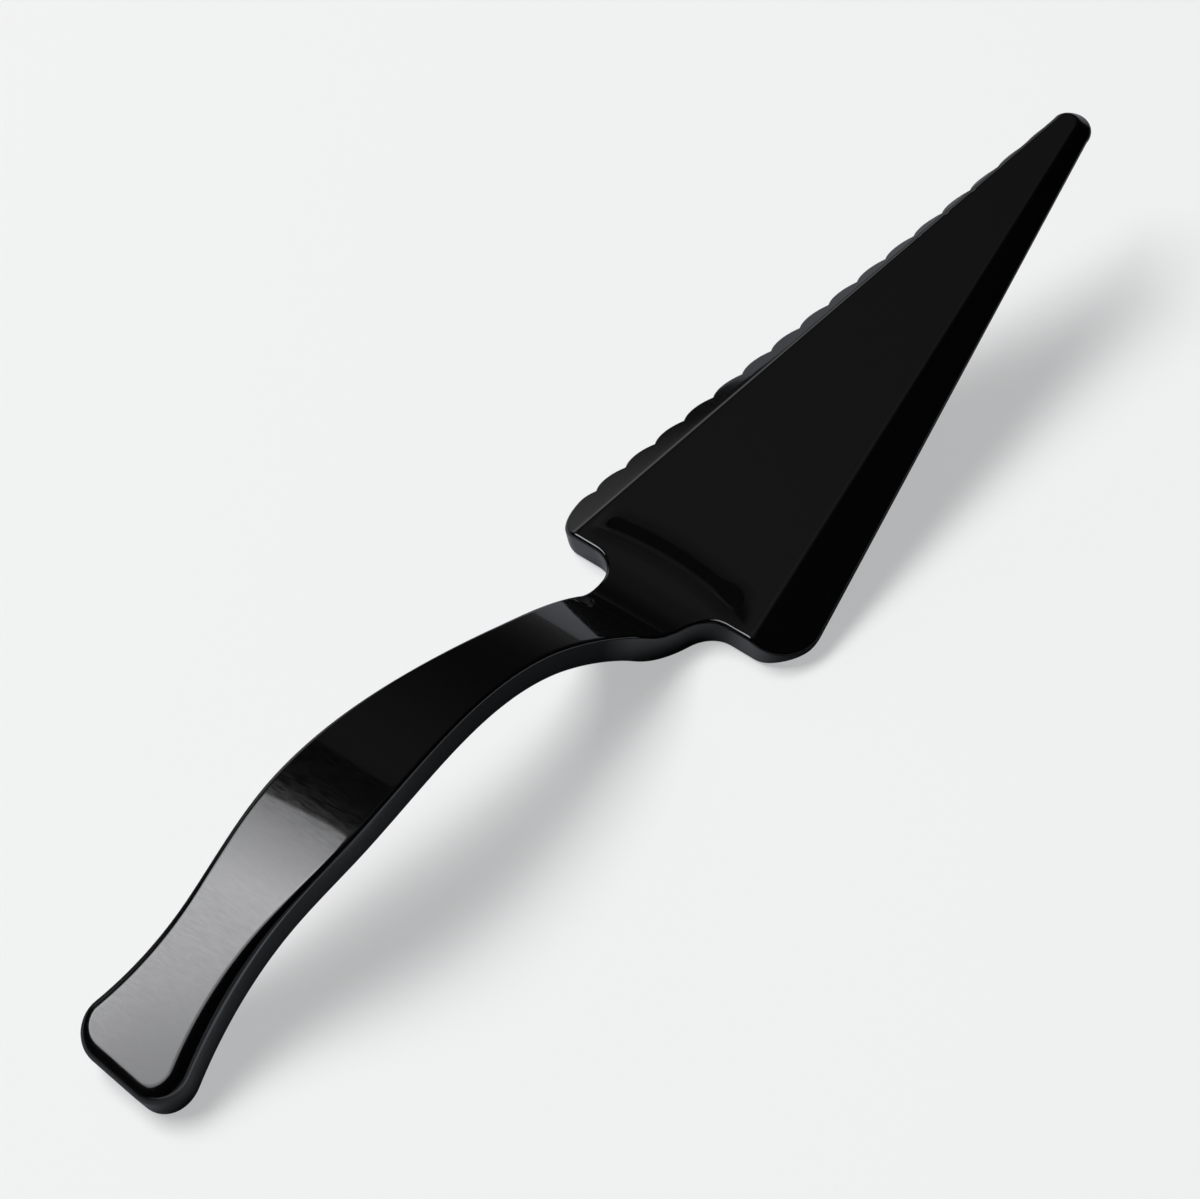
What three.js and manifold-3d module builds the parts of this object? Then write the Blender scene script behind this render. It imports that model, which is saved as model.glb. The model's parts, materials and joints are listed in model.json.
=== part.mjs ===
// A one-piece moulded plastic cake cutter: an upside-down tray blade with one scalloped side,
// and an arched channel handle that grows out of its heel.
//
// The moulding is divided at its own form lines into named solids that meet face to face.
// It is drawn in the deck's frame: x runs from the heel edge to the tip, y to the scalloped side
// and z up from the deck. The finished group is then tipped until heel and butt both rest.
import * as THREE from 'three';
import { mergeVertices } from 'three/addons/utils/BufferGeometryUtils.js';
import Module from 'manifold-3d';

const wasm = await Module();
wasm.setup();

// Blade sizes in millimetres, along and across the deck
const bladeLength = 122.6;
const deckHeelWidth = 39.2;
const deckTipWidth = 4.2;
const bladeHeelWidth = 57;
const tipRadius = 4.3;
const heelDrop = 6.3;
const tipDrop = 3.3;
const heelEdge = 1.4;
const tipEdge = 0.5;
const heelCornerRadius = 8.6;
const deckThickness = 1.6;
const wingThickness = 1.6;

// Scallops along one wing, whose tips lie a little inside the plain wing's outline
const toothPitch = 6.63;
const toothDepth = 1.2;
const toothSetback = 1.6;
const firstValley = 10.9;
const toothCount = 16;

// Side profile of the handle: a hollow bend up from the heel, a long arch and a straight butt
const bendRadius = 14;
const neckSlope = THREE.MathUtils.degToRad(52.2);
const archRadius = 91;
const buttSlope = THREE.MathUtils.degToRad(12.3);
const handleLength = 131.3;

// Widths of the handle and how far behind the heel edge each one lies
const neckWidth = 11;
const neckPlace = 31;
const neckRootWidth = 17.7;
const neckFillet = 3.4;
const neckLand = 0.6;
const flarePower = 1.6;
const gripWidth = 18.7;
const gripPlace = 80;
const waistWidth = 15.5;
const waistPlace = 105.5;
const buttWidth = 21.6;
const buttCornerRadius = 5;

// Skirt of the handle, square to its profile, with its walls and roundings
const neckDepth = 5.05;
const neckDepthPlace = 18;
const gripDepth = 6.3;
const buttDepth = 7.4;
const wall = 2.2;
const handleThickness = 2.2;
const edgeRadius = 0.8;
const shoulderWidth = 3.4;
const shoulderHeight = 2.4;

// Where the handle is divided, and how finely curves are stepped
const archStart = 34;
const gripStart = 66;
const buttStart = 104;
const stationStep = 2.6;
const cornerSteps = 6;
const edgeSteps = 3;
const toothSteps = 6;
const tipSegments = 48;

// How far a cutting body reaches past the surface that it opens
const cutOver = 2;

// Black polystyrene, moulded to a high gloss
const plasticColour = 0x0b0b0c;
const plasticRoughness = 0.12;

const bladeRun = bladeLength - tipRadius;
const quarterTurn = Math.PI / 2;

// One closed body through matching rings of points, which step towards +x and run anticlockwise from +x
function loft(rings) {
  const count = rings[0].length;
  const positions = rings.flat().flatMap((point) => [point.x, point.y, point.z]);
  const indices = [];
  for (let i = 0; i + 1 < rings.length; i++) {
    for (let j = 0; j < count; j++) {
      const a = i * count + j;
      const b = i * count + (j + 1) % count;
      indices.push(a, b, b + count, a, b + count, a + count);
    }
  }
  const [start, end] = [rings[0], rings.at(-1)].map((points) => {
    const flat = points.map((point) => new THREE.Vector2(point.y, point.z));
    return THREE.ShapeUtils.triangulateShape(flat, []);
  });
  const last = (rings.length - 1) * count;
  for (const [a, b, c] of start) indices.push(c, b, a);
  for (const [a, b, c] of end) indices.push(last + a, last + b, last + c);
  const geometry = new THREE.BufferGeometry();
  geometry.setAttribute('position', new THREE.Float32BufferAttribute(positions, 3));
  geometry.setIndex(indices);
  return geometry;
}

// A ring in the plane x, from pairs of y and z
function ring(x, pairs) {
  return pairs.map(([y, z]) => new THREE.Vector3(x, y, z));
}

function solidOf(geometry) {
  const bare = geometry.clone();
  bare.deleteAttribute('normal');
  bare.deleteAttribute('uv');
  const merged = mergeVertices(bare);
  const vertProperties = new Float32Array(merged.attributes.position.array);
  const triVerts = new Uint32Array(merged.index.array);
  return new wasm.Manifold(new wasm.Mesh({ numProp: 3, vertProperties, triVerts }));
}

function geometryOf(solid) {
  const mesh = solid.getMesh();
  const geometry = new THREE.BufferGeometry();
  geometry.setAttribute('position', new THREE.BufferAttribute(mesh.vertProperties, 3));
  geometry.setIndex(new THREE.BufferAttribute(mesh.triVerts, 1));
  return geometry;
}

function lerp(a, b, t) {
  return THREE.MathUtils.lerp(a, b, t);
}

// Ease between two values, level at both ends, as x goes from start to end
function ease(start, end, a, b, x) {
  return lerp(a, b, THREE.MathUtils.smoothstep((x - start) / (end - start), 0, 1));
}

function rangeOf(from, to, step) {
  const count = Math.max(1, Math.ceil(Math.abs(to - from) / step - 1e-6));
  return Array.from({ length: count + 1 }, (_, i) => lerp(from, to, i / count));
}

// Angles of a quarter circle, in even steps
function quarterAngles(steps) {
  return rangeOf(0, quarterTurn, quarterTurn / steps);
}

// Blade plan and section at x: half widths, the lower edge, and the top of the sloping wing at y
function deckHalf(x) {
  return lerp(deckHeelWidth, deckTipWidth, x / bladeRun) / 2;
}

function bladeHalf(x) {
  return lerp(bladeHeelWidth / 2, tipRadius, x / bladeRun);
}

function bladeRim(x) {
  return -lerp(heelDrop, tipDrop, x / bladeRun);
}

function wingTop(x, y) {
  const edgeTop = bladeRim(x) + lerp(heelEdge, tipEdge, x / bladeRun);
  return lerp(0, edgeTop, (y - deckHalf(x)) / (bladeHalf(x) - deckHalf(x)));
}

// Outline of a wing with its round heel corner, set back from the plain outline, and drawn in by an inset
function wingHalf(x, setback, inset) {
  if (x >= heelCornerRadius) return bladeHalf(x) - setback;
  const reach = bladeHalf(heelCornerRadius) - deckHalf(heelCornerRadius) - setback - inset;
  const along = (heelCornerRadius - x) / (heelCornerRadius - inset);
  return deckHalf(x) + reach * Math.sqrt(Math.max(1 - along ** 2, 0));
}

// Scalloped outline: round teeth at an equal pitch, from the heel corner, which is half of one, to the last valley
const firstPeak = firstValley - toothPitch / 2;
const lastValley = firstValley + toothCount * toothPitch;
const toothArc = ((toothPitch / 2) ** 2 + toothDepth ** 2) / (2 * toothDepth);

function serratedHalf(x) {
  const outline = wingHalf(x, toothSetback, 0);
  if (x < firstPeak || x > lastValley) return outline;
  const fromPeak = ((x - firstPeak + toothPitch / 2) % toothPitch) - toothPitch / 2;
  return outline - toothArc + Math.sqrt(toothArc ** 2 - fromPeak ** 2);
}

// Stations along a wing: the corner's arc, the scallops if it has them, and its end at the tip
function wingStations(serrated) {
  const corner = quarterAngles(cornerSteps).map((turn) => heelCornerRadius * (1 - Math.cos(turn)));
  const teeth = serrated ? rangeOf(firstPeak, lastValley, toothPitch / toothSteps) : [];
  return [...corner, ...teeth.filter((x) => x > heelCornerRadius), bladeRun];
}

// One wing with its rounded heel corner, as a filled wedge less the hollow under it
function makeWing(side, serrated) {
  const stations = wingStations(serrated);
  const setback = serrated ? toothSetback : 0;
  const facing = (pairs) => (side > 0 ? pairs : pairs.map(([y, z]) => [-y, z]).reverse());
  const filled = stations.map((x) => {
    const inner = deckHalf(x);
    const outline = serrated ? serratedHalf(x) : wingHalf(x, 0, 0);
    const outer = Math.max(outline, inner + heelEdge / 2);
    const rim = bladeRim(x);
    return ring(x, facing([[inner, rim], [outer, rim], [outer, wingTop(x, outer)], [inner, 0]]));
  });
  const hollowStations = [wall, ...stations.filter((x) => x > wall), bladeRun + cutOver];
  const hollow = hollowStations.map((x) => {
    const crease = deckHalf(x);
    const floor = bladeRim(x) - cutOver;
    const reach = x < heelCornerRadius ? wingHalf(x, setback, wall) : bladeHalf(x);
    const outer = Math.max(reach, crease + heelEdge / 4);
    const roof = wingTop(x, outer) - wingThickness;
    const back = crease - cutOver;
    const under = -deckThickness;
    return ring(x, facing([[back, floor], [outer, floor], [outer, roof], [crease, under], [back, under]]));
  });
  return geometryOf(solidOf(loft(filled)).subtract(solidOf(loft(hollow))));
}

// Flat deck between the creases, from the heel wall to the tip
function makeDeck() {
  return loft([wall, bladeRun].map((x) => {
    const half = deckHalf(x);
    return ring(x, [[-half, -deckThickness], [half, -deckThickness], [half, 0], [-half, 0]]);
  }));
}

// Round end of the blade: half a shallow cone with a hollow underside
function makeTip() {
  const half = deckTipWidth / 2;
  const rim = -tipDrop;
  const floor = rim - cutOver;
  const roof = rim + tipEdge - wingThickness;
  const outer = [[0, rim], [tipRadius, rim], [tipRadius, rim + tipEdge], [half, 0], [0, 0]];
  const inner = [[0, floor], [tipRadius, floor], [tipRadius, roof], [half, -deckThickness], [0, -deckThickness]];
  const [cone, hollow] = [outer, inner].map((pairs) => {
    const points = pairs.map(([radius, height]) => new THREE.Vector2(radius, height));
    const turned = new THREE.LatheGeometry(points, tipSegments);
    turned.rotateX(quarterTurn);
    turned.translate(bladeRun, 0, 0);
    return solidOf(turned);
  });
  const size = 4 * (tipRadius + tipDrop);
  const front = new THREE.BoxGeometry(size, size, size);
  front.translate(bladeRun + size / 2, 0, 0);
  return geometryOf(cone.subtract(hollow).intersect(solidOf(front)));
}

// Half width at the heel edge where the neck's fillet ends and the rear wall begins
const neckEnd = neckRootWidth / 2 + neckFillet + neckLand;

// Rear wall of the blade on one side, from the neck to the crease
function makeHeelWall(side) {
  return loft([0, wall].map((x) => {
    const outer = deckHalf(x);
    const [low, high] = side > 0 ? [neckEnd, outer] : [-outer, -neckEnd];
    const rim = bladeRim(x);
    return ring(x, [[low, rim], [high, rim], [high, 0], [low, 0]]);
  }));
}

// Side profile: the bend's centre is above the heel edge, the arch's centre is below the handle
const archCentreX = -(bendRadius + archRadius) * Math.sin(neckSlope);
const archCentreZ = bendRadius - (bendRadius + archRadius) * Math.cos(neckSlope);
const archEnd = archCentreX - archRadius * Math.sin(buttSlope);
const archEndHeight = archCentreZ + archRadius * Math.cos(buttSlope);

// Height at x of the line that runs below the profile at a depth, measured square to it
function profileHeight(x, depth) {
  const bend = bendRadius + depth;
  const arch = archRadius - depth;
  if (x >= 0) return -depth;
  if (x >= -bend * Math.sin(neckSlope)) return bendRadius - Math.sqrt(bend ** 2 - x ** 2);
  if (x >= archCentreX - arch * Math.sin(buttSlope)) {
    return archCentreZ + Math.sqrt(arch ** 2 - (x - archCentreX) ** 2);
  }
  return archEndHeight + (x - archEnd) * Math.tan(buttSlope) - depth / Math.cos(buttSlope);
}

// Plan of the handle as a half width at x, drawn in from its outer face by an inset
function handleHalf(x, inset) {
  const [root, neck, grip, waist, butt] = [neckRootWidth, neckWidth, gripWidth, waistWidth, buttWidth]
    .map((width) => width / 2);
  if (x > inset) return root + neckFillet;
  if (x > -neckFillet) {
    return root + neckFillet - Math.sqrt(Math.max((neckFillet + inset) ** 2 - (x + neckFillet) ** 2, 0));
  }
  if (x > -neckPlace) {
    const along = (x + neckPlace) / (neckPlace - neckFillet);
    return neck + (root - neck) * along ** flarePower - inset;
  }
  if (x > -gripPlace) return ease(-neckPlace, -gripPlace, neck, grip, x) - inset;
  if (x > -waistPlace) return ease(-gripPlace, -waistPlace, grip, waist, x) - inset;
  const cornerX = buttCornerRadius - handleLength;
  const along = (x + waistPlace) / (cornerX + waistPlace);
  if (x > cornerX) return waist + (butt - waist) * along ** 2 - inset;
  const radius = buttCornerRadius - inset;
  return butt - buttCornerRadius + Math.sqrt(Math.max(radius ** 2 - (cornerX - x) ** 2, 0));
}

// Depth of the handle's skirt, square to its profile
function skirtDepth(x) {
  if (x > -neckDepthPlace) return ease(0, -neckDepthPlace, heelDrop, neckDepth, x);
  if (x > -neckPlace) return neckDepth;
  if (x > -gripPlace) return ease(-neckPlace, -gripPlace, neckDepth, gripDepth, x);
  return ease(-gripPlace, -handleLength, gripDepth, buttDepth, x);
}

function handleRim(x) {
  return x >= 0 ? bladeRim(x) : profileHeight(x, skirtDepth(x));
}

// Rounding of the top edges: none at the heel, small along the handle, growing into the butt's shoulder
function edgeRounding(x, shoulder) {
  if (x > -gripPlace) return ease(0, -2 * neckFillet, edgeRadius / 20, edgeRadius, x);
  return ease(-gripPlace, -handleLength, edgeRadius, shoulder, x);
}

// How far the top falls away over the rounded end of the butt
function endFall(x) {
  const left = x + handleLength;
  if (left >= shoulderWidth) return 0;
  return shoulderHeight * (1 - Math.sqrt(1 - (1 - left / shoulderWidth) ** 2));
}

// One filled section of the handle, with rounded top edges
function handleSection(x) {
  const half = x >= 0 ? neckEnd : handleHalf(x, 0);
  const top = profileHeight(x, 0) - endFall(x);
  const rim = handleRim(x);
  const width = edgeRounding(x, shoulderWidth);
  const height = edgeRounding(x, shoulderHeight) * (1 - endFall(x) / (2 * shoulderHeight));
  const left = quarterAngles(edgeSteps).map((turn) => [
    half - width * (1 - Math.cos(turn)),
    top - height * (1 - Math.sin(turn)),
  ]);
  const right = left.map(([y, z]) => [-y, z]).reverse();
  return ring(x, [[-half, rim], [half, rim], ...left, ...right]);
}

// The hollow under the handle runs from the open heel to the butt's end wall
function makeHandleHollow() {
  const start = wall - handleLength;
  const cornerReach = buttCornerRadius - wall;
  const corner = quarterAngles(cornerSteps).map((turn) => start + cornerReach * (1 - Math.cos(turn)));
  const along = rangeOf(start + cornerReach, -neckFillet, stationStep).slice(1);
  const mouth = rangeOf(-neckFillet, wall, (neckFillet + wall) / cornerSteps).slice(1);
  return loft([...corner, ...along, ...mouth, wall + cutOver].map((x) => {
    const half = handleHalf(x, wall);
    const roof = profileHeight(x, handleThickness);
    const floor = handleRim(x) - cutOver;
    return ring(x, [[-half, floor], [half, floor], [half, roof], [-half, roof]]);
  }));
}

const handleHollow = solidOf(makeHandleHollow());

function makeHandlePiece(stations) {
  return geometryOf(solidOf(loft(stations.map(handleSection))).subtract(handleHollow));
}

// Stations of each stretch of the handle, from back to front
const neckCurve = quarterAngles(cornerSteps).map((turn) => -neckFillet * (1 - Math.sin(turn)));
const neckStations = [...rangeOf(-archStart, -neckFillet, stationStep).slice(0, -1), ...neckCurve, wall];
const archStations = rangeOf(-gripStart, -archStart, stationStep);
const gripStations = rangeOf(-buttStart, -gripStart, stationStep);
const buttCurve = quarterAngles(cornerSteps).map((turn) => buttCornerRadius * (1 - Math.cos(turn)) - handleLength);
const buttStations = [...buttCurve, ...rangeOf(buttCornerRadius - handleLength, -buttStart, stationStep).slice(1)];

const cutter = new THREE.Group();

function addPiece(name, geometry) {
  const material = new THREE.MeshStandardMaterial({ color: plasticColour, roughness: plasticRoughness, metalness: 0 });
  const mesh = new THREE.Mesh(geometry, material);
  mesh.name = name;
  cutter.add(mesh);
}

addPiece('blade_deck', makeDeck());
addPiece('serrated_wing', makeWing(1, true));
addPiece('plain_wing', makeWing(-1, false));
addPiece('blade_tip', makeTip());
addPiece('heel_wall_left', makeHeelWall(1));
addPiece('heel_wall_right', makeHeelWall(-1));
addPiece('neck', makeHandlePiece(neckStations));
addPiece('handle_arch', makeHandlePiece(archStations));
addPiece('handle_grip', makeHandlePiece(gripStations));
addPiece('handle_butt', makeHandlePiece(buttStations));

// At rest the butt's lower edge and the lowest line of the heel share one level
const buttRim = handleRim(-handleLength);
const restTilt = Math.max(...neckStations.map((x) => Math.atan2(buttRim - handleRim(x), x + handleLength)));
cutter.rotation.y = -restTilt;
cutter.updateMatrixWorld(true);
const box = new THREE.Box3().setFromObject(cutter, true);
const middle = box.getCenter(new THREE.Vector3());
cutter.position.set(-middle.x, -middle.y, -box.min.z);

export default cutter;
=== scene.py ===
# %% [markdown]
# # A cake cutter moulded in one piece
# The cutter is a single shot of black polystyrene: a tray-shaped blade and a channel handle
# that grow into each other. It could be built from a boxy blade and a swept handle joined by booleans,
# but the joint would show where the real moulding flows. So it is modelled as one closed skin.
# A loop of edges is extruded ring by ring, from the middle of the top, out over the edges,
# down the walls and back under to the middle.

import json
import math
from types import SimpleNamespace

import bmesh
import bpy
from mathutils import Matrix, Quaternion, Vector


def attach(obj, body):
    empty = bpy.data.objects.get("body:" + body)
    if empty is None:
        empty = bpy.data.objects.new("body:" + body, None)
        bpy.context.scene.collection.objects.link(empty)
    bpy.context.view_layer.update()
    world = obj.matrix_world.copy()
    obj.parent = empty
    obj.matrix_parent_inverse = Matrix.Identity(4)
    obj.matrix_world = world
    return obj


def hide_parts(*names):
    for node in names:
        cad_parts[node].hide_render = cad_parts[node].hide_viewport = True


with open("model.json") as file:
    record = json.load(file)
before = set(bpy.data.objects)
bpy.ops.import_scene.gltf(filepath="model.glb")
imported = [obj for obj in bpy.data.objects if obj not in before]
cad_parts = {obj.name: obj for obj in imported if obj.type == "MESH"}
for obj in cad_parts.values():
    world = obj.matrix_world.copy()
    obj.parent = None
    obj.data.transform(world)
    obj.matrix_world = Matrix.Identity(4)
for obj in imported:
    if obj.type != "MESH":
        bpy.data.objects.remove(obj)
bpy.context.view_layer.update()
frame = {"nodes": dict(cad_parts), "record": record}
bpy.ops.object.select_all(action="DESELECT")

# %% [markdown]
# ## Sizes
# All sizes are in millimetres, in the deck's own frame: x runs from the heel edge to the tip,
# y towards the scalloped side and z up from the flat deck. They follow the CAD's sizes,
# with corners, fillets and shoulders rounded a little more, as the moulding's are.

# %% Sizes of the blade
BLADE_LENGTH, TIP_RADIUS = 122.6, 4.3
DECK_HEEL_WIDTH, DECK_TIP_WIDTH, BLADE_HEEL_WIDTH = 39.2, 4.2, 57
HEEL_DROP, TIP_DROP, HEEL_EDGE, TIP_EDGE = 6.3, 3.3, 1.4, 0.5
SCALLOPED_CORNER, PLAIN_CORNER = 11.5, 9.4
TOOTH_PITCH, TOOTH_DEPTH, TOOTH_SETBACK, TOOTH_ROOM = 6.63, 1.2, 1.6, 0.5
FIRST_VALLEY, TOOTH_COUNT = 10.9, 16
SKIN, CREASE_REACH = 1.6, 0.5
WING_HEEL_ROUNDING, WING_TIP_ROUNDING, WING_INSET = 0.35, 0.2, 0.6

BLADE_RUN = BLADE_LENGTH - TIP_RADIUS
FIRST_PEAK = FIRST_VALLEY - TOOTH_PITCH / 2
LAST_VALLEY = FIRST_VALLEY + TOOTH_COUNT * TOOTH_PITCH
TOOTH_ARC = ((TOOTH_PITCH / 2) ** 2 + TOOTH_DEPTH**2) / (2 * TOOTH_DEPTH)
print("last valley:", round(LAST_VALLEY, 2), "radius of a scallop:", round(TOOTH_ARC, 2))

# %% Sizes of the handle
BEND_RADIUS, NECK_SLOPE = 14, math.radians(52.2)
ARCH_RADIUS, BUTT_SLOPE = 91, math.radians(12.3)
HANDLE_LENGTH = 132.9
NECK_WIDTH, NECK_PLACE, NECK_ROOT, NECK_FILLET, FLARE = 11, 31, 17.9, 5.6, 1.6
GRIP_WIDTH, GRIP_PLACE, WAIST_WIDTH, WAIST_PLACE = 18.7, 80, 15.5, 105.5
BUTT_WIDTH, BUTT_CORNER, BUTT_SKEW = 21.7, 5.8, 0.1
NECK_DEPTH, NECK_DEPTH_PLACE, GRIP_DEPTH, BUTT_DEPTH = 5.05, 18, 6.3, 6.9
WALL, ROOF = 2.2, 2.2
EDGE_RADIUS, RIM_RADIUS, INNER_FILLET, ROUND_LIMIT = 0.8, 0.4, 0.8, 0.4
END_WIDTH, END_HEIGHT = 2.4, 2

# Where the top's rounding starts to grow on each side, and its width and height at the butt
SHOULDERS = {1: (60, 2, 2.5), -1: (84, 2.6, 3.6)}
print("handle from", -HANDLE_LENGTH, "to 0, neck", NECK_WIDTH, "grip", GRIP_WIDTH, "butt", BUTT_WIDTH)

# %% [markdown]
# ## Shape of the blade
# The deck is flat between two creases. Outside them the wings slope down to the edge,
# and the creases are eased over a short reach so that they catch the light as moulded ones do.
# Formulas keep the scallops equal, where copies of one modelled tooth would need joining.

# %% Blade as formulas


def lerp(a, b, t):
    return a + (b - a) * t


def ease(start, end, a, b, x):
    t = min(max((x - start) / (end - start), 0), 1)
    return lerp(a, b, t * t * (3 - 2 * t))


def deck_half(x):
    return lerp(DECK_HEEL_WIDTH, DECK_TIP_WIDTH, x / BLADE_RUN) / 2


def blade_half(x):
    return lerp(BLADE_HEEL_WIDTH / 2, TIP_RADIUS, x / BLADE_RUN)


def blade_rim(x):
    return -lerp(HEEL_DROP, TIP_DROP, min(x / BLADE_RUN, 1))


def wing_slope(x):
    along = min(x / BLADE_RUN, 1)
    fall = -blade_rim(x) - lerp(HEEL_EDGE, TIP_EDGE, along)
    near = min(x, BLADE_RUN)
    return fall / (blade_half(near) - deck_half(near))


def wing_half(x, setback, corner):
    if x >= corner:
        return blade_half(x) - setback
    reach = blade_half(corner) - deck_half(corner) - setback
    along = (corner - x) / corner
    return deck_half(x) + reach * math.sqrt(max(1 - along**2, 0))


def outline_half(x, scalloped):
    if not scalloped:
        return wing_half(x, 0, PLAIN_CORNER)
    outline = wing_half(x, TOOTH_SETBACK, SCALLOPED_CORNER)
    if not FIRST_PEAK <= x <= LAST_VALLEY:
        return outline
    from_peak = (x - FIRST_PEAK + TOOTH_PITCH / 2) % TOOTH_PITCH - TOOTH_PITCH / 2
    cut = outline - TOOTH_ARC + math.sqrt(TOOTH_ARC**2 - from_peak**2)
    return max(cut, deck_half(x) + TOOTH_ROOM)


print("slope of the wings at heel and tip:", round(wing_slope(0), 3), round(wing_slope(BLADE_RUN), 3))

# %% [markdown]
# ## Shape of the handle
# In profile the handle is a hollow bend up from the heel, a long arch and a straight butt.
# In plan it flares at the root, widens at the grip, narrows to a waist and ends in a round-cornered butt.
# A curve with a bevel could sweep such a handle, but it would keep one section from end to end.

# %% Handle as formulas
ARCH_X = -(BEND_RADIUS + ARCH_RADIUS) * math.sin(NECK_SLOPE)
ARCH_Z = BEND_RADIUS - (BEND_RADIUS + ARCH_RADIUS) * math.cos(NECK_SLOPE)
ARCH_END_X = ARCH_X - ARCH_RADIUS * math.sin(BUTT_SLOPE)
ARCH_END_Z = ARCH_Z + ARCH_RADIUS * math.cos(BUTT_SLOPE)

# The flares run into the round corners without a kink, so both meet at the flare's own angle
ROOT_TURN = math.atan(FLARE * (NECK_ROOT - NECK_WIDTH) / 2 / (NECK_PLACE - NECK_FILLET))
ROOT_X = -NECK_FILLET * (1 - math.sin(ROOT_TURN))
ROOT_HALF = NECK_ROOT / 2 + NECK_FILLET * (1 - math.cos(ROOT_TURN))
butt_turn = 0
for _ in range(8):
    butt_x = BUTT_CORNER * (1 + math.sin(butt_turn)) - HANDLE_LENGTH
    butt_half = BUTT_WIDTH / 2 - BUTT_CORNER * (1 - math.cos(butt_turn))
    butt_turn = math.atan(2 * (butt_half - WAIST_WIDTH / 2) / (-WAIST_PLACE - butt_x))


def profile(x, depth):
    bend, arch = BEND_RADIUS + depth, ARCH_RADIUS - depth
    if x >= 0:
        return -depth
    if x >= -bend * math.sin(NECK_SLOPE):
        return BEND_RADIUS - math.sqrt(bend**2 - x**2)
    if x >= ARCH_X - arch * math.sin(BUTT_SLOPE):
        return ARCH_Z + math.sqrt(arch**2 - (x - ARCH_X) ** 2)
    return ARCH_END_Z + (x - ARCH_END_X) * math.tan(BUTT_SLOPE) - depth / math.cos(BUTT_SLOPE)


def handle_half(x):
    neck, grip, waist = NECK_WIDTH / 2, GRIP_WIDTH / 2, WAIST_WIDTH / 2
    if x > -NECK_PLACE:
        return neck + (ROOT_HALF - neck) * ((x + NECK_PLACE) / (ROOT_X + NECK_PLACE)) ** FLARE
    if x > -GRIP_PLACE:
        return ease(-NECK_PLACE, -GRIP_PLACE, neck, grip, x)
    if x > -WAIST_PLACE:
        return ease(-GRIP_PLACE, -WAIST_PLACE, grip, waist, x)
    return lerp(waist, butt_half, ((x + WAIST_PLACE) / (butt_x + WAIST_PLACE)) ** 2)


def skirt(x):
    if x > -NECK_PLACE:
        return ease(0, -NECK_DEPTH_PLACE, HEEL_DROP, NECK_DEPTH, x)
    if x > -GRIP_PLACE:
        return ease(-NECK_PLACE, -GRIP_PLACE, NECK_DEPTH, GRIP_DEPTH, x)
    return ease(-GRIP_PLACE, -HANDLE_LENGTH, GRIP_DEPTH, BUTT_DEPTH, x)


print("top of the arch above the deck:", round(ARCH_Z + ARCH_RADIUS, 2))

# %% [markdown]
# ## Heights
# Three small functions give the height of the top, the underside and the lower rim at any place in plan.
# The underside follows the top at the thickness of the skin, as in any moulding of even walls.

# %% Heights of top, underside and rim


def top_height(x, y):
    if x < 0:
        return profile(x, 0)
    if x < BLADE_RUN:
        past = abs(y) - deck_half(x)
    else:
        past = math.hypot(x - BLADE_RUN, y) - DECK_TIP_WIDTH / 2
    if past > CREASE_REACH:
        return -wing_slope(x) * past
    return -wing_slope(x) * max(past + CREASE_REACH, 0) ** 2 / (4 * CREASE_REACH)


def under_height(x, y):
    if x < 0:
        return profile(x, ease(0, -NECK_FILLET * 2, SKIN, ROOF, x))
    return max(blade_rim(x), top_height(x, y) - SKIN)


def rim_height(x, y, wing):
    base = profile(x, skirt(x)) if x < 0 else blade_rim(x)
    if wing == 0:
        return base
    return lerp(base, max(base, top_height(x, y) - SKIN), wing)


print("rim at heel and butt:", rim_height(0, 0, 0), round(rim_height(-HANDLE_LENGTH, 0, 0), 2))

# %% [markdown]
# ## Columns
# Each point of the outline heads one column: the line over the moulding from the middle of the top
# to the middle of the underside. A column knows its outline point, its crease points if it is on a wing,
# its end on the middle line, and how its edges are rounded. Near the heel the columns fan out,
# so that they turn the corner from the wing to the neck without crossing.

# %% A column and its helpers
FAN_START, FAN_CREASE, FAN_MIDDLE, FAN_NECK, UNDER_CREASE = 30, 1.4, 10, 3.4, 3.3
NECK_LEAD, BUTT_LEAD, BUTT_SPINE = 0.5, 4, 127


def column(x, y, spine, crease=None, rounding=EDGE_RADIUS, drop=None, inset=WALL, wing=0, under=None):
    return SimpleNamespace(
        edge=Vector((x, y)),
        crease=crease,
        under=under or crease,
        spine=Vector((spine, 0)),
        rounding=rounding,
        drop=rounding if drop is None else drop,
        inset=inset,
        wing=wing,
    )


def fan(crease_x):
    return crease_x if crease_x > FAN_START else lerp(FAN_MIDDLE, FAN_START, crease_x / FAN_START)


def wing_rounding(x):
    return lerp(WING_HEEL_ROUNDING, WING_TIP_ROUNDING, min(x / BLADE_RUN, 1))


def crease_point(x, side):
    return Vector((x, side * deck_half(x)))


print("fan at the heel meets the middle line at:", round(fan(FAN_CREASE), 2))

# %% Columns of the blade
TIP_STEPS, TOOTH_STEPS, CORNER_STEPS, HEEL_STEPS, FILLET_STEPS = 14, 10, 16, 16, 10


def tip_columns(side):
    half = DECK_TIP_WIDTH / 2
    for i in range(TIP_STEPS):
        turn = math.pi / 2 * i / TIP_STEPS
        reach = ease(0, TIP_STEPS, TIP_RADIUS, outline_half(BLADE_RUN, side > 0), i)
        crease = Vector((BLADE_RUN + half * math.cos(turn), side * half * math.sin(turn)))
        x, y = BLADE_RUN + reach * math.cos(turn), side * reach * math.sin(turn)
        spine = BLADE_RUN + half / 2 * math.cos(turn)
        yield column(x, y, spine, crease, wing_rounding(x), inset=WING_INSET, wing=1)


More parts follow.
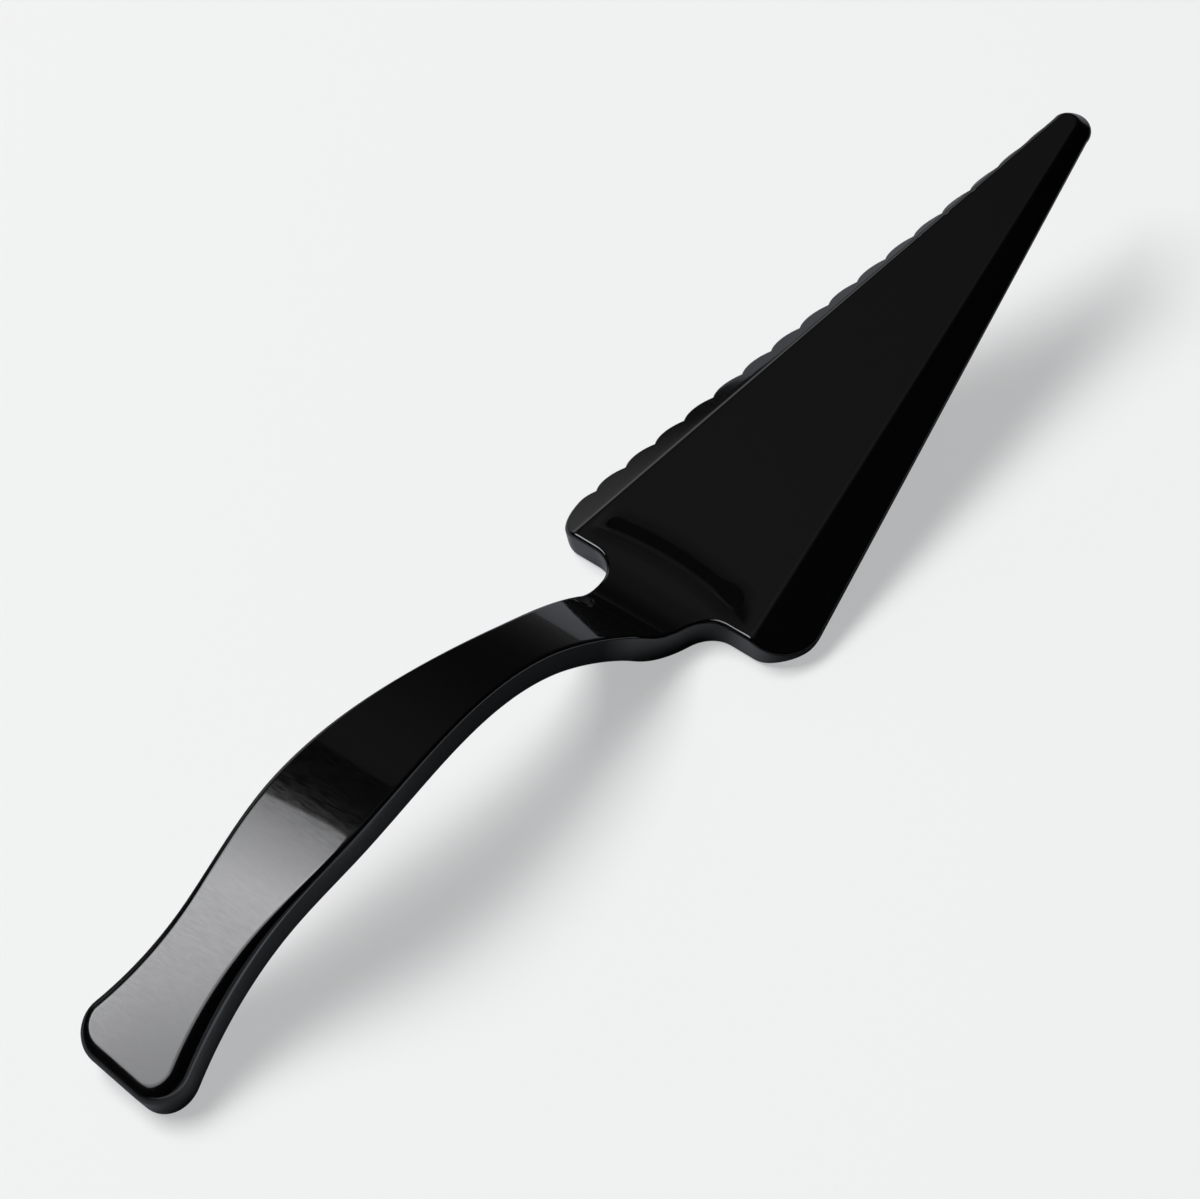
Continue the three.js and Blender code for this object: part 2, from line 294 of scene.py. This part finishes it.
def wing_columns(side):
    count = TOOTH_COUNT * TOOTH_STEPS + TOOTH_STEPS // 2
    stations = [LAST_VALLEY - i * TOOTH_PITCH / TOOTH_STEPS for i in range(count)]
    for x in [BLADE_RUN] + stations:
        y = side * outline_half(x, side > 0)
        yield column(x, y, fan(x), crease_point(x, side), wing_rounding(x), inset=WING_INSET, wing=1)


def corner_columns(side):
    corner = SCALLOPED_CORNER if side > 0 else PLAIN_CORNER
    first = math.asin((corner - FIRST_PEAK) / corner)
    for i in range(CORNER_STEPS + 1):
        part = i / CORNER_STEPS
        x = corner * (1 - math.sin(lerp(first, math.pi / 2, part)))
        crease_x = lerp(FIRST_PEAK, FAN_CREASE, part)
        yield column(
            x,
            side * outline_half(x, side > 0),
            fan(crease_x),
            crease_point(crease_x, side),
            rounding=ease(0, 1, wing_rounding(x), EDGE_RADIUS, part),
            inset=ease(0, 1, WING_INSET, WALL, part),
            wing=ease(0, 1, 1, 0, part),
            under=crease_point(lerp(FIRST_PEAK, UNDER_CREASE, part), side),
        )


def heel_columns(side):
    root = NECK_ROOT / 2 + NECK_FILLET
    for i in range(1, HEEL_STEPS + 1):
        part = i / HEEL_STEPS
        yield column(0, side * lerp(deck_half(0), root, part), lerp(fan(FAN_CREASE), FAN_NECK, part))
    for i in range(1, FILLET_STEPS + 1):
        turn = (math.pi / 2 - ROOT_TURN) * i / FILLET_STEPS
        x = -NECK_FILLET * (1 - math.cos(turn))
        spine = lerp(FAN_NECK, NECK_LEAD + ROOT_X, i / FILLET_STEPS)
        yield column(x, side * (root - NECK_FILLET * math.sin(turn)), spine)


blade_count = sum(len(list(made(1))) for made in (tip_columns, wing_columns, corner_columns, heel_columns))
print("columns on one side of the blade:", blade_count)

# %% Columns of the handle
BEND_STEPS, HANDLE_STEPS, BUTT_STEPS, END_STEPS = 20, 84, 14, 8


def handle_columns(side):
    start, width, height = SHOULDERS[side]
    bend_end = -(BEND_RADIUS + NECK_DEPTH) * math.sin(NECK_SLOPE)
    bend = [lerp(ROOT_X, bend_end, (i + 1) / BEND_STEPS) for i in range(BEND_STEPS)]
    arch = [lerp(bend_end, butt_x, (i + 1) / HANDLE_STEPS) for i in range(HANDLE_STEPS)]
    for x in bend + arch:
        ahead = ease(ROOT_X, bend_end, NECK_LEAD, 0, x) + ease(-WAIST_PLACE, butt_x, 0, BUTT_LEAD, x)
        rounding = ease(-start, butt_x, EDGE_RADIUS, width, x)
        drop = ease(-start, butt_x, EDGE_RADIUS, height, x)
        yield column(x, side * handle_half(x), x + ahead, rounding=rounding, drop=drop)


def butt_columns(side):
    _, width, height = SHOULDERS[side]
    flat = BUTT_WIDTH / 2 - BUTT_CORNER
    steps = BUTT_STEPS + END_STEPS
    for i in range(1, steps + 1):
        part = min(i / BUTT_STEPS, 1)
        turn = lerp(-butt_turn, math.pi / 2, part)
        to_middle = max(i - BUTT_STEPS, 0) / END_STEPS
        x = BUTT_CORNER * (1 - math.sin(turn)) - HANDLE_LENGTH
        y = side * (flat * (1 - to_middle) + BUTT_CORNER * math.cos(turn))
        spine = lerp(butt_x + BUTT_LEAD, -BUTT_SPINE, i / steps)
        rounding = ease(0, 1, width, END_WIDTH, part)
        drop = ease(0, 1, height, END_HEIGHT, part)
        yield column(x, y, spine, rounding=rounding, drop=drop)


stretches = (tip_columns, wing_columns, corner_columns, heel_columns, handle_columns, butt_columns)
scalloped_side, plain_side = ([item for made in stretches for item in made(side)] for side in (1, -1))
columns = scalloped_side + plain_side[-2:0:-1]
for here, item in enumerate(columns):
    after, before = columns[(here + 1) % len(columns)].edge, columns[here - 1].edge
    run = (after - item.edge).normalized() + (item.edge - before).normalized()
    item.inward = Vector((-run.y, run.x)).normalized()
print("columns round the outline:", len(columns))

# %% [markdown]
# ## Points of one column
# Every column gives the same number of points, so that point number n of all of them makes ring n.
# Roundings are conics, which give a true quarter of a circle or an ellipse where they turn square.
# A Bevel modifier could round the edges too, but here the width changes along the handle.

# %% Path from the edge to the middle line
DECK_SHARES = (0, 0.15, 0.3, 0.45, 0.6, 0.73, 0.84, 0.93, 1)
CREASE_SHARES = (0.5, 0, -0.5, -1)
WING_SHARES = (0.75, 0.5, 0.25, 0)
LEAST_FOLD = 1.4


def along_path(points, distance):
    for a, b in zip(points, points[1:]):
        length = (b - a).length
        if distance <= length or b is points[-1]:
            return a.lerp(b, distance / length)
        distance -= length


def path_places(start, crease, spine):
    path = [start, crease, spine] if crease else [start, spine]
    total = sum((b - a).length for a, b in zip(path, path[1:]))
    first = (crease - start).length if crease else 0
    fold = max(first, LEAST_FOLD)
    deck = [lerp(total, fold + CREASE_REACH, share) for share in DECK_SHARES]
    bent = [fold + CREASE_REACH * share for share in CREASE_SHARES]
    wing = [(fold - CREASE_REACH) * share for share in WING_SHARES]
    return [along_path(path, distance) for distance in deck + bent + wing]


print("points along a path:", len(DECK_SHARES + CREASE_SHARES + WING_SHARES))

# %% Points over the top, down the wall and back under
ROUND_STEPS, RIM_STEPS = 7, 3


def up(place, height):
    return Vector((place.x, place.y, height))


def conic(start, corner, end, t):
    a, b, c = (1 - t) ** 2, math.sqrt(2) * t * (1 - t), t**2
    return (start * a + corner * b + end * c) / (a + b + c)


def top_points(item):
    start = item.edge + item.inward * item.rounding
    points = [up(p, top_height(p.x, p.y)) for p in path_places(start, item.crease, item.spine)]
    edge_top = top_height(item.edge.x, item.edge.y)
    corner, wall_top = up(item.edge, edge_top), up(item.edge, edge_top - item.drop)
    return points + [conic(points[-1], corner, wall_top, i / ROUND_STEPS) for i in range(1, ROUND_STEPS + 1)]


def wall_points(item, wall_top):
    rim = rim_height(item.edge.x, item.edge.y, item.wing)
    radius = min(RIM_RADIUS, ROUND_LIMIT * (wall_top.z - rim))
    foot = up(item.edge, rim + radius)
    toe = up(item.edge + item.inward * radius, rim)
    rounded = [conic(foot, up(item.edge, rim), toe, i / RIM_STEPS) for i in range(1, RIM_STEPS + 1)]
    return [wall_top.lerp(foot, 0.5), foot] + rounded


def under_points(item):
    inner = item.edge + item.inward * item.inset
    rim = rim_height(inner.x, inner.y, item.wing)
    roof = max(under_height(inner.x, inner.y), rim)
    radius = min(RIM_RADIUS, ROUND_LIMIT * (roof - rim))
    heel, rise = up(inner - item.inward * radius, rim), up(inner, rim + radius)
    points = [conic(heel, up(inner, rim), rise, i / RIM_STEPS) for i in range(RIM_STEPS + 1)]
    fillet = min(INNER_FILLET, ROUND_LIMIT * (roof - rim))
    inside = inner + item.inward * fillet
    below, arrive = up(inner, roof - fillet), up(inside, max(under_height(inside.x, inside.y), rim))
    points += [conic(below, up(inner, roof), arrive, i / RIM_STEPS) for i in range(RIM_STEPS)]
    places = reversed(path_places(inside, item.under, item.spine))
    return points + [up(p, under_height(p.x, p.y)) for p in places]


def column_points(item):
    top = top_points(item)
    return top + wall_points(item, top[-1]) + under_points(item)


print("points in a column:", len(column_points(columns[0])))

# %% [markdown]
# ## From the deck's frame to the part's
# The cutter lies on its butt and heel, so the deck is tilted. The tilt could be worked out again here,
# but the record's mount on the deck already holds it, with a point 45 mm from the heel edge.

# %% Rings in the part's frame
MOUNT_FROM_HEEL = 45
mount = next(m for m in frame["record"]["mounts"] if m["name"] == "serving_deck")
deck_up = Vector(mount["axis"])
deck_along = Vector((deck_up.z, 0, -deck_up.x))
deck_origin = Vector(mount["pos_m"]) - deck_along * MOUNT_FROM_HEEL / 1000


# The butt's walls stand square to its sloping top, and its end is a little askew
def to_part(point):
    butt = ease(-GRIP_PLACE, -WAIST_PLACE - BUTT_CORNER, 0, 1, point.x)
    lean = butt * (profile(point.x, 0) - point.z) * math.tan(BUTT_SLOPE)
    skew = ease(-WAIST_PLACE, -HANDLE_LENGTH, 0, BUTT_SKEW, point.x) * point.y
    point = point + Vector((lean + skew, 0, skew * math.tan(BUTT_SLOPE)))
    return deck_origin + (deck_along * point.x + Vector((0, point.y, 0)) + deck_up * point.z) / 1000


rings = list(zip(*(map(to_part, column_points(item)) for item in columns)))
print("rings:", len(rings))

# %% [markdown]
# ## One skin, extruded ring by ring
# A circle with one vertex for each column is laid on the top's middle line.
# Its loop is extruded again and again, and each new loop is moved to the next ring's places.
# At both ends the loop lies double on the middle line, so merging by distance closes the skin.

# %% Extrude the skin
bpy.ops.mesh.primitive_circle_add(vertices=len(columns), radius=0.1, fill_type="NOTHING")
cutter = bpy.context.object
cutter.name = "cake_cutter_moulding"
bpy.ops.object.mode_set(mode="EDIT")
shell = bmesh.from_edit_mesh(cutter.data)
number = shell.verts.layers.int.new("column")
for here, vertex in enumerate(shell.verts):
    vertex[number] = here
    vertex.co = rings[0][here]
bpy.ops.mesh.select_all(action="SELECT")
for ring in rings[1:]:
    bpy.ops.mesh.extrude_region_move()
    shell = bmesh.from_edit_mesh(cutter.data)
    number = shell.verts.layers.int["column"]
    for vertex in shell.verts:
        if vertex.select:
            vertex.co = ring[vertex[number]]
bmesh.update_edit_mesh(cutter.data)
bpy.ops.mesh.select_all(action="SELECT")
bpy.ops.mesh.remove_doubles(threshold=1e-6)
bpy.ops.mesh.normals_make_consistent(inside=False)
bpy.ops.object.mode_set(mode="OBJECT")
print("skin:", len(cutter.data.vertices), "vertices", len(cutter.data.polygons), "faces")

# %% [markdown]
# ## Sink mark
# Near the heel the rear wall makes the moulding thicker, so its top has sunk along an arc as it cooled.
# A bump in the material could fake the bent reflection, but the mesh would stay flat without it.
# So the deck's faces there are subdivided, and their vertices are let down by a formula.

# %% Formula of the sink
SINK_PLACE, SINK_SIDE, SINK_RADIUS, SINK_DEPTH = 5.2, 3.5, 70, 0.4
SINK_RUN, SINK_RETURN = 6.5, 2.9
SINK_PLAIN_END, SINK_SCALLOPED_END = (-18.2, -12), (18.2, 14.8)
SINK_DEEPER, SINK_DEEPENS = 1.3, (-11.5, -7.5)


def sink(x, y):
    past = math.hypot(x - SINK_PLACE + SINK_RADIUS, y - SINK_SIDE) - SINK_RADIUS
    near = max(1 - past / SINK_RUN if past > 0 else 1 + past / SINK_RETURN, 0)
    share = (4 * near**2 - near**8) / 3 if past > 0 else near**2
    ends = ease(*SINK_PLAIN_END, 0, 1, y) * ease(*SINK_SCALLOPED_END, 0, 1, y)
    return SINK_DEPTH * share * ends * ease(*SINK_DEEPENS, SINK_DEEPER, 1, y)


print("depth of the sink on the middle line:", round(sink(SINK_PLACE, 0), 2), "mm")

# %% Let the deck down
SINK_CUTS, FLATNESS = 5, 0.01


def deck_place(point):
    moved = (point - deck_origin) * 1000
    return moved.dot(deck_along), moved.y, moved.dot(deck_up)


bpy.ops.object.mode_set(mode="EDIT")
bpy.ops.mesh.select_all(action="DESELECT")
shell = bmesh.from_edit_mesh(cutter.data)
for face in shell.faces:
    places = [deck_place(vertex.co) for vertex in face.verts]
    if all(abs(z) < FLATNESS for _, _, z in places) and any(sink(x, y) for x, y, _ in places):
        face.select = True
bpy.ops.mesh.subdivide(number_cuts=SINK_CUTS)
shell = bmesh.from_edit_mesh(cutter.data)
for vertex in shell.verts:
    x, y, z = deck_place(vertex.co)
    if abs(z) < FLATNESS:
        vertex.co -= deck_up * sink(x, y) / 1000
bmesh.update_edit_mesh(cutter.data)
bpy.ops.object.mode_set(mode="OBJECT")
print("skin with its sink:", len(cutter.data.polygons), "faces")

# %% [markdown]
# ## Smooth shading
# The skin is smooth everywhere. Plain smooth shading would let the small roundings tilt the normals of the
# large flats beside them, so weighted normals keep the deck and wings flat right up to their roundings.

# %% Shade
bpy.ops.object.shade_smooth()
bpy.ops.object.modifier_add(type="WEIGHTED_NORMAL")
cutter.modifiers[-1].weight = 80
bpy.ops.object.modifier_apply(modifier=cutter.modifiers[-1].name)
print("smooth faces:", sum(p.use_smooth for p in cutter.data.polygons))

# %% [markdown]
# ## Material
# Injection-moulded polystyrene copies the polish of the steel mould, so it is black, hard and glossy.
# A slight unevenness from shrinking bends its reflections, and wiping marks on the handle haze them.
# One rougher shader would lose the sharp reflection under the haze, so a polished and a hazy one are mixed.

# %% Helpers for materials


def srgb(code):
    values = [int(code[i : i + 2], 16) / 255 for i in (1, 3, 5)]
    return [v / 12.92 if v <= 0.04045 else ((v + 0.055) / 1.055) ** 2.4 for v in values] + [1]


def per_mm(size):
    return 1000 / size


def new_material(name):
    material = bpy.data.materials.new(name)
    material.use_nodes = True
    material.node_tree.nodes.clear()
    return material, material.node_tree


def add(tree, kind, links=None, values=None, **settings):
    made = tree.nodes.new(kind)
    for key, value in settings.items():
        setattr(made, key, value)
    for socket, value in (values or {}).items():
        made.inputs[socket].default_value = value
    for socket, source in (links or {}).items():
        tree.links.new(source, made.inputs[socket])
    return made


def ramp(tree, source, stops):
    made = add(tree, "ShaderNodeValToRGB", {"Fac": source})
    points = made.color_ramp.elements
    while len(points) < len(stops):
        points.new(0.5)
    for point, (position, level) in zip(points, stops):
        point.position = position
        point.color = (level, level, level, 1)
    return made.outputs["Color"]


plastic, tree = new_material("moulded_black_polystyrene")
print("material:", plastic.name)

# %% Unevenness from shrinking, and wiping marks
WAVE_SIZE, WAVE_HEIGHT = 22, 0.4

# Real wiping marks are finer than a pixel, so these are as coarse as they need to be to show
MARK_WIDTH, MARK_LENGTH = 0.35, 2.5

on_cutter = add(tree, "ShaderNodeTexCoord").outputs["Object"]
waves = add(tree, "ShaderNodeTexNoise", {"Vector": on_cutter}, {"Scale": per_mm(WAVE_SIZE), "Detail": 1})
swell = add(
    tree,
    "ShaderNodeBump",
    {"Height": waves.outputs["Fac"]},
    {"Strength": 0.1, "Distance": WAVE_HEIGHT / 1000},
)
stretched = add(
    tree,
    "ShaderNodeMapping",
    {"Vector": on_cutter},
    {"Scale": [per_mm(MARK_WIDTH), per_mm(MARK_LENGTH), per_mm(MARK_WIDTH)]},
)
streaks = add(tree, "ShaderNodeTexNoise", {"Vector": stretched.outputs["Vector"]}, {"Scale": 1, "Detail": 3})
wiped = add(
    tree,
    "ShaderNodeMapRange",
    {"Value": streaks.outputs["Fac"]},
    {"From Min": 0.38, "From Max": 0.62, "To Min": 0.1, "To Max": 0.55},
)
handled = add(
    tree,
    "ShaderNodeMapRange",
    {"Value": add(tree, "ShaderNodeSeparateXYZ", {"Vector": on_cutter}).outputs["X"]},
    {"From Min": -0.03, "From Max": 0, "To Min": 1, "To Max": 0.1},
)
worn = add(
    tree,
    "ShaderNodeMath",
    {0: wiped.outputs["Result"], 1: handled.outputs["Result"]},
    operation="MULTIPLY",
)
print("waves:", WAVE_SIZE, "mm, marks:", MARK_WIDTH, "x", MARK_LENGTH, "mm")

# %% Gloss black polystyrene
# Polystyrene's index of refraction is 1.59, so it mirrors its surroundings a little more than most plastics
polish, haze = (
    add(
        tree,
        "ShaderNodeBsdfPrincipled",
        {"Normal": swell.outputs["Normal"]},
        {"Base Color": srgb("#050505"), "IOR": 1.59, "Roughness": roughness},
    )
    for roughness in (0.05, 0.2)
)
surface = add(
    tree,
    "ShaderNodeMixShader",
    {"Fac": worn.outputs["Value"], 1: polish.outputs["BSDF"], 2: haze.outputs["BSDF"]},
)
add(tree, "ShaderNodeOutputMaterial", {"Surface": surface.outputs["Shader"]})
cutter.data.materials.append(plastic)
print("nodes in the plastic:", len(tree.nodes))

# %% [markdown]
# ## Tie to the CAD
# The CAD divides the moulding into named solids for the collisions. The skin stands for all of them,
# so it rides on the one body and takes the place of every node.

# %% Tie the skin to the CAD
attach(cutter, "root")
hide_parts(*frame["nodes"])

# %% [markdown]
# ## Floor
# The cutter lies on pale paper. About half of the paper's tone is its own light,
# so that it stays pale and still takes a soft shadow.
# Gloss black shows whatever it mirrors, and the moulding's lower walls mirror the paper close by.
# To glossy rays the paper is dark instead: painted shade that stands for its shadow around the cutter,
# with painted light strips beside the handle and the butt, which the walls show as painted highlights.

# %% Paper as the camera sees it
bpy.ops.mesh.primitive_plane_add(size=6)
floor = bpy.context.object
floor.name = "floor"
paper, tree = new_material("pale_studio_paper")
lit = add(tree, "ShaderNodeBsdfDiffuse", values={"Color": srgb("#F0F0F0")})
lifted = add(tree, "ShaderNodeEmission", values={"Color": srgb("#EFF0F1"), "Strength": 1})
seen = add(
    tree,
    "ShaderNodeMixShader",
    {1: lit.outputs["BSDF"], 2: lifted.outputs["Emission"]},
    {"Fac": 0.52},
)
floor.data.materials.append(paper)
print("floor:", paper.name)

# %% Painted light strips and painted shade on the paper beside the handle, which only reflections see
on_floor = add(tree, "ShaderNodeTexCoord").outputs["Object"]
where = add(tree, "ShaderNodeSeparateXYZ", {"Vector": on_floor}).outputs
blade_step = add(
    tree,
    "ShaderNodeMapRange",
    {"Value": where["X"]},
    {"From Min": -0.012, "From Max": 0.002, "To Min": 0, "To Max": 0.018},
)
beside = add(tree, "ShaderNodeMath", {0: where["Y"], 1: blade_step.outputs["Result"]}, operation="ADD")
aside = add(
    tree,
    "ShaderNodeMapRange",
    {"Value": beside.outputs["Value"]},
    {"From Min": -0.12, "From Max": 0},
)
# Painted shade close beside the handle, where its shadow lies, and painted light farther out, mirrored as a
# light line on the walls
painted_handle_strip = ramp(tree, aside.outputs["Result"], ((0, 0.85), (0.4, 0.55), (0.7, 0.05)))
painted_butt_strip = ramp(tree, aside.outputs["Result"], ((0.56, 0), (0.66, 1), (0.74, 1), (0.8, 0.03)))
past_butt = add(tree, "ShaderNodeMapRange", {"Value": where["X"]}, {"From Min": -0.06, "From Max": -0.03})
painted_light_strip = add(
    tree,
    "ShaderNodeMix",
    {"Factor": past_butt.outputs["Result"], "A": painted_butt_strip, "B": painted_handle_strip},
)
print("nodes up to the strips:", len(tree.nodes))

# %% Painted shade and light on the paper close under the handle, which only reflections see
to_middle = add(
    tree,
    "ShaderNodeMapRange",
    {"Value": beside.outputs["Value"]},
    {"From Min": -0.0096, "From Max": -0.0024},
)
ends = add(tree, "ShaderNodeMapRange", {"Value": where["X"]}, {"From Min": -0.17, "From Max": -0.02})
from_end = ends.outputs["Result"]
# Painted light and shade close under the handle: lighter under the butt's end, darker where its shadow lies
near_plain = ramp(tree, from_end, ((0.03, 0), (0.23, 0.28), (0.4, 0.28), (0.97, 0.03)))
near_scallops = ramp(tree, from_end, ((0.03, 0), (0.23, 0.3), (0.33, 0.04), (0.8, 0.04), (1, 0.31)))
close = add(
    tree,
    "ShaderNodeMix",
    {"Factor": to_middle.outputs["Result"], "A": near_plain, "B": near_scallops},
)
print("nodes up to the paper close by:", len(tree.nodes))

# %% Paper as the plastic mirrors it: painted shade and painted light strips, not the paper's own lit tone
# Painted level of the mirrored paper: the painted light strips plus the painted levels close under the
# handle
painted_mirror_level = add(
    tree,
    "ShaderNodeMath",
    {0: painted_light_strip.outputs["Result"], 1: close.outputs["Result"]},
    operation="ADD",
)
painted_mirror_tint = add(
    tree,
    "ShaderNodeMix",
    {"Factor": painted_mirror_level.outputs["Value"]},
    {6: srgb("#000000"), 7: srgb("#F0F6FF")},
    data_type="RGBA",
)
# Painted reflection: glossy rays see this painted grey, not the paper's own lit and shaded tone
painted_mirror_paper = add(tree, "ShaderNodeBsdfDiffuse", {"Color": painted_mirror_tint.outputs[2]})
glossy = add(tree, "ShaderNodeLightPath").outputs["Is Glossy Ray"]
both = add(
    tree,
    "ShaderNodeMixShader",
    {"Fac": glossy, 1: seen.outputs["Shader"], 2: painted_mirror_paper.outputs["BSDF"]},
)
add(tree, "ShaderNodeOutputMaterial", {"Surface": both.outputs["Shader"]})
print("nodes in the paper:", len(tree.nodes))

# %% [markdown]
# ## Softbox and flag
# The grey sheen on the butt is the mirror image of a softbox above and behind the handle.
# A black flag beside it darkens the middle of the handle and shows as the dark arc in the sink.
# An area lamp could be the softbox, but its face is even, and this one is brightest near its middle.
# So both are cards that only reflections see.

# %% Cards that show in reflections
KEY_WAY = Vector((-0.27, 0.46, 0.846)).normalized()


def card(name, width, depth, place, way, twist, material):
    turned = way.to_track_quat("Z", "Y") @ Quaternion((0, 0, 1), math.radians(twist))
    bpy.ops.mesh.primitive_plane_add(size=1, location=place, rotation=turned.to_euler())
    made = bpy.context.object
    made.name = name
    made.scale = (width, depth, 1)
    made.data.materials.append(material)
    made.visible_camera = False
    made.visible_diffuse = False
    made.visible_shadow = False
    print("card:", name)


glow, tree = new_material("softbox_diffuser")
on_card = add(tree, "ShaderNodeTexCoord").outputs["Generated"]
along_card = add(tree, "ShaderNodeSeparateXYZ", {"Vector": on_card}).outputs["X"]
rising = ((0, 0.38), (0.08, 0.47), (0.22, 0.64), (0.36, 0.88))
falling = ((0.47, 0.87), (0.49, 0.79), (0.53, 0.56), (0.6, 0.35), (1, 0.25))
fall = ramp(tree, along_card, rising + falling)
power = add(tree, "ShaderNodeMath", {0: fall}, {1: 9.2}, operation="MULTIPLY")
lamp = add(tree, "ShaderNodeEmission", {"Strength": power.outputs["Value"]}, {"Color": srgb("#FBFCFF")})
add(tree, "ShaderNodeOutputMaterial", {"Surface": lamp.outputs["Emission"]})
card("softbox", 0.422, 0.33, Vector((-0.2693, 0.2374, 0.5526)), KEY_WAY, 16, glow)

felt, tree = new_material("black_felt")
matt = add(tree, "ShaderNodeBsdfDiffuse", values={"Color": srgb("#0A0A0A")})
add(tree, "ShaderNodeOutputMaterial", {"Surface": matt.outputs["BSDF"]})
card("black_flag", 0.063, 0.2, Vector((-0.0135, 0.13, 0.25)), Vector((0, 0, 1)), 0, felt)

# %% [markdown]
# ## Key
# A large soft key from the softbox's side lights the paper and casts the shadow.
# The softbox could do that too, but then sheen and shadow couldn't be matched apart.
# The key is far away, so that it lights the paper evenly, and it is hidden from reflections.

# %% Key, which lights the paper
OBJECT_MIDDLE, KEY_DISTANCE = Vector((-0.06, 0, 0.02)), 6
key_place = OBJECT_MIDDLE + KEY_WAY * KEY_DISTANCE
key_turn = KEY_WAY.to_track_quat("Z", "Y").to_euler()
bpy.ops.object.light_add(type="AREA", location=key_place, rotation=key_turn)
key = bpy.context.object
key.name = "key"
key.data.shape = "RECTANGLE"
key.data.size = 4.75
key.data.size_y = 2.6
key.data.energy = 468
key.visible_glossy = False
print("light:", key.name)

# %% [markdown]
# ## Room
# Around the cutter the studio is dim. It is lighter low down on the scalloped side, as if by a window,
# which the sloping wing mirrors, and a little lighter overhead, which keeps the deck from going quite black.
# An image of a real studio could do this, but a few ramps over the direction are enough.

# %% Dim room
world = bpy.data.worlds.new("dim_studio")
bpy.context.scene.world = world
world.use_nodes = True
tree = world.node_tree
tree.nodes.clear()
direction = add(tree, "ShaderNodeTexCoord").outputs["Generated"]
axes = add(tree, "ShaderNodeSeparateXYZ", {"Vector": direction}).outputs
low = ((0, 0.2), (0.1, 0.11), (0.2, 0.05), (0.3, 0.03), (0.45, 0.03))
high = ((0.6, 0.06), (0.75, 0.11), (0.9, 0.12), (1, 0.3))
by_height = ramp(tree, axes["Z"], low + high)
to_scallops, to_tip = (
    add(tree, "ShaderNodeMapRange", {"Value": axes[axis]}, {"From Min": -1, "From Max": 1}).outputs["Result"]
    for axis in "YX"
)
side_levels = ((0.25, 0.06), (0.35, 0.2), (0.5, 0.6), (0.71, 1), (0.75, 1), (0.8, 0.15))
by_side = ramp(tree, to_scallops, side_levels)
by_front = ramp(tree, to_tip, ((0.47, 0.12), (0.57, 1), (0.64, 0.75), (0.92, 0.5)))
WINDOW_WAY = (0.3, 0.868, 0.383)
facing = add(tree, "ShaderNodeVectorMath", {0: direction}, {1: WINDOW_WAY}, operation="DOT_PRODUCT")
window = ramp(tree, facing.outputs["Value"], ((0.92, 0), (0.95, 0.28), (0.97, 0.42), (0.99, 0.9)))
level = by_height
for other, how in ((by_side, "MULTIPLY"), (by_front, "MULTIPLY"), (window, "ADD")):
    joined = add(
        tree,
        "ShaderNodeMix",
        {6: level, 7: other},
        {"Factor": 1},
        data_type="RGBA",
        blend_type=how,
    )
    level = joined.outputs[2]
back = add(tree, "ShaderNodeBackground", {"Color": level}, {"Strength": 1})
add(tree, "ShaderNodeOutputWorld", {"Surface": back.outputs["Background"]})
print("room:", world.name)

# %% [markdown]
# ## Camera
# The photo was taken from above the butt's right side with a long lens, which hardly shrinks the far tip.
# Place and turn were found by fitting the outline.

# %% Camera
bpy.ops.object.camera_add(
    location=(-0.45431, -0.3638, 0.62408),
    rotation=[math.radians(a) for a in (43.4584, -0.1335, -50.5682)],
)
camera = bpy.context.object
camera.data.lens = 150
camera.data.sensor_width = 36
camera.data.clip_end = 10
bpy.context.scene.camera = camera
bpy.context.scene.view_settings.view_transform = "Standard"
print("camera lens:", camera.data.lens, "mm")
